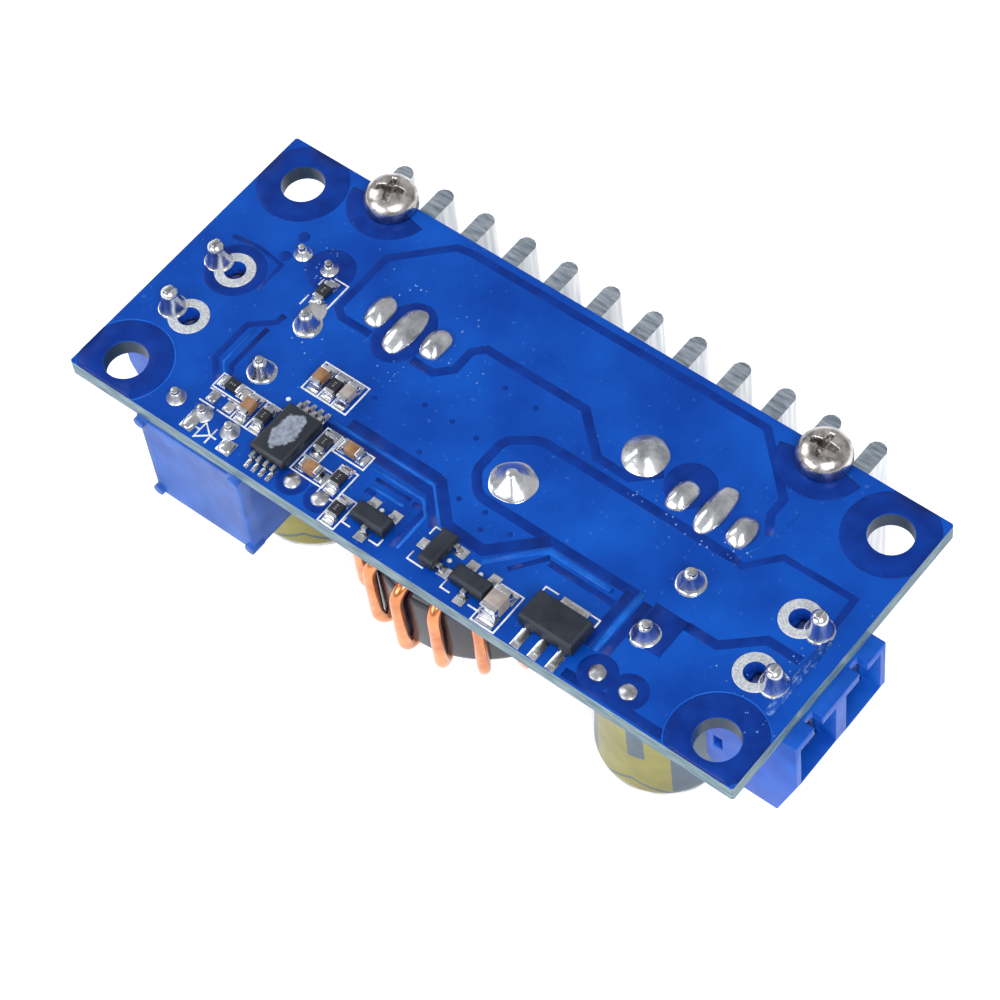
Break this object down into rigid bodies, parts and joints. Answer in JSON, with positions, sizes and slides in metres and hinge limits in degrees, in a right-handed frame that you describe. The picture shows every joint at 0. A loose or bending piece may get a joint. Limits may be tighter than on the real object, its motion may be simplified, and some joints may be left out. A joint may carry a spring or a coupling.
{
  "type": "boost converter module",
  "caption": "Voltage step-up circuit module with a ring inductor, tall capacitors, a finned heatsink, screw terminals and a multi-turn trimmer.",
  "frame": {"origin": "centre of the rectangle of the four mounting holes, on the board's solder face", "axes": "+X along the board's length towards the output terminals, +Y across the board towards the heatsink, +Z out of the solder face; the module lies solder side up"},
  "size_m": [0.0605, 0.0294, 0.021],
  "materials": {
    "board_laminate": "glossy",
    "tinned_ring": "satin",
    "heatsink_metal": "satin",
    "fastener_steel": "satin",
    "package_mould": "matte",
    "frame_metal": "satin",
    "pad_rubber": "matte",
    "bush_mould": "matte",
    "core_iron": "matte",
    "enamel_copper": "glossy",
    "can_metal": "satin",
    "sleeve_film": "glossy",
    "bung_rubber": "matte",
    "tinned_lead": "satin",
    "trimmer_mould": "satin",
    "trimmer_brass": "satin",
    "terminal_mould": "satin",
    "clamp_plated": "satin",
    "lamp_lens": "glossy",
    "resistor_coat": "glossy",
    "chip_ceramic": "satin",
    "chip_ceramic_pale": "satin",
    "solder": "satin"
  },
  "bodies": {
    "module": {"board_screws": "fastener_steel", "chip_capacitor_bodies": "chip_ceramic", "chip_capacitor_ends": "tinned_lead", "chip_resistor_bodies": "resistor_coat", "chip_resistor_ends": "tinned_lead", "circuit_board": "board_laminate", "control_chip_body": "package_mould", "control_chip_leads": "tinned_lead", "heatsink": "heatsink_metal", "indicator_lamp": "lamp_lens", "indicator_lamp_leads": "tinned_lead", "inductor_core": "core_iron", "inductor_winding": "enamel_copper", "input_capacitor_bung": "bung_rubber", "input_capacitor_can": "can_metal", "input_capacitor_leads": "tinned_lead", "input_capacitor_sleeve": "sleeve_film", "input_terminal_contacts": "tinned_lead", "input_terminal_housing": "terminal_mould", "insulating_bushes": "bush_mould", "insulating_pads": "pad_rubber", "output_capacitor_bung": "bung_rubber", "output_capacitor_can": "can_metal", "output_capacitor_leads": "tinned_lead", "output_capacitor_sleeve": "sleeve_film", "output_terminal_contacts": "tinned_lead", "output_terminal_housing": "terminal_mould", "pale_capacitor_bodies": "chip_ceramic_pale", "rectifier_body": "package_mould", "rectifier_frame": "frame_metal", "regulator_body": "package_mould", "regulator_leads": "tinned_lead", "small_transistor_bodies": "package_mould", "small_transistor_leads": "tinned_lead", "solder_capacitors": "solder", "solder_inductor": "solder", "solder_lamp": "solder", "solder_pads": "solder", "solder_power_leads": "solder", "solder_terminals": "solder", "solder_test_points": "solder", "solder_trimmer": "solder", "switch_transistor_body": "package_mould", "switch_transistor_frame": "frame_metal", "tab_screws": "fastener_steel", "trimmer_housing": "trimmer_mould", "trimmer_pins": "tinned_lead", "wire_hole_rings": "tinned_ring"},
    "trimmer_adjuster": {"trimmer_screw": "trimmer_brass"},
    "input_screw_near": {"input_terminal_screw_near": "clamp_plated"},
    "input_clamp_near": {"input_terminal_clamp_near": "clamp_plated"},
    "input_screw_far": {"input_terminal_screw_far": "clamp_plated"},
    "input_clamp_far": {"input_terminal_clamp_far": "clamp_plated"},
    "output_screw_near": {"output_terminal_screw_near": "clamp_plated"},
    "output_clamp_near": {"output_terminal_clamp_near": "clamp_plated"},
    "output_screw_far": {"output_terminal_screw_far": "clamp_plated"},
    "output_clamp_far": {"output_terminal_clamp_far": "clamp_plated"}
  },
  "joints": [
    {"name": "trimmer_turn", "type": "hinge", "parent": "module", "child": "trimmer_adjuster", "pos_m": [-0.0216, -0.00985, -0.01205], "axis": [0, 0, 1], "continuous": true},
    {"name": "input_screw_near_turn", "type": "hinge", "parent": "module", "child": "input_screw_near", "pos_m": [-0.02685, -0.00424, -0.01], "axis": [0, 0, 1], "range_deg": [0, 1657]},
    {"name": "input_clamp_near_rise", "type": "slide", "parent": "module", "child": "input_clamp_near", "axis": [0, 0, -1], "range_m": [0, 0.0023]},
    {"name": "input_screw_far_turn", "type": "hinge", "parent": "module", "child": "input_screw_far", "pos_m": [-0.02685, 0.00084, -0.01], "axis": [0, 0, 1], "range_deg": [0, 1657]},
    {"name": "input_clamp_far_rise", "type": "slide", "parent": "module", "child": "input_clamp_far", "axis": [0, 0, -1], "range_m": [0, 0.0023]},
    {"name": "output_screw_near_turn", "type": "hinge", "parent": "module", "child": "output_screw_near", "pos_m": [0.027, -0.00424, -0.01], "axis": [0, 0, 1], "range_deg": [0, 1657]},
    {"name": "output_clamp_near_rise", "type": "slide", "parent": "module", "child": "output_clamp_near", "axis": [0, 0, -1], "range_m": [0, 0.0023]},
    {"name": "output_screw_far_turn", "type": "hinge", "parent": "module", "child": "output_screw_far", "pos_m": [0.027, 0.00084, -0.01], "axis": [0, 0, 1], "range_deg": [0, 1657]},
    {"name": "output_clamp_far_rise", "type": "slide", "parent": "module", "child": "output_clamp_far", "axis": [0, 0, -1], "range_m": [0, 0.0023]}
  ],
  "couplings": [
    {"joint": "input_screw_near_turn", "follows": "input_clamp_near_rise", "rad_per_m": 12566},
    {"joint": "input_screw_far_turn", "follows": "input_clamp_far_rise", "rad_per_m": 12566},
    {"joint": "output_screw_near_turn", "follows": "output_clamp_near_rise", "rad_per_m": 12566},
    {"joint": "output_screw_far_turn", "follows": "output_clamp_far_rise", "rad_per_m": 12566}
  ]
}
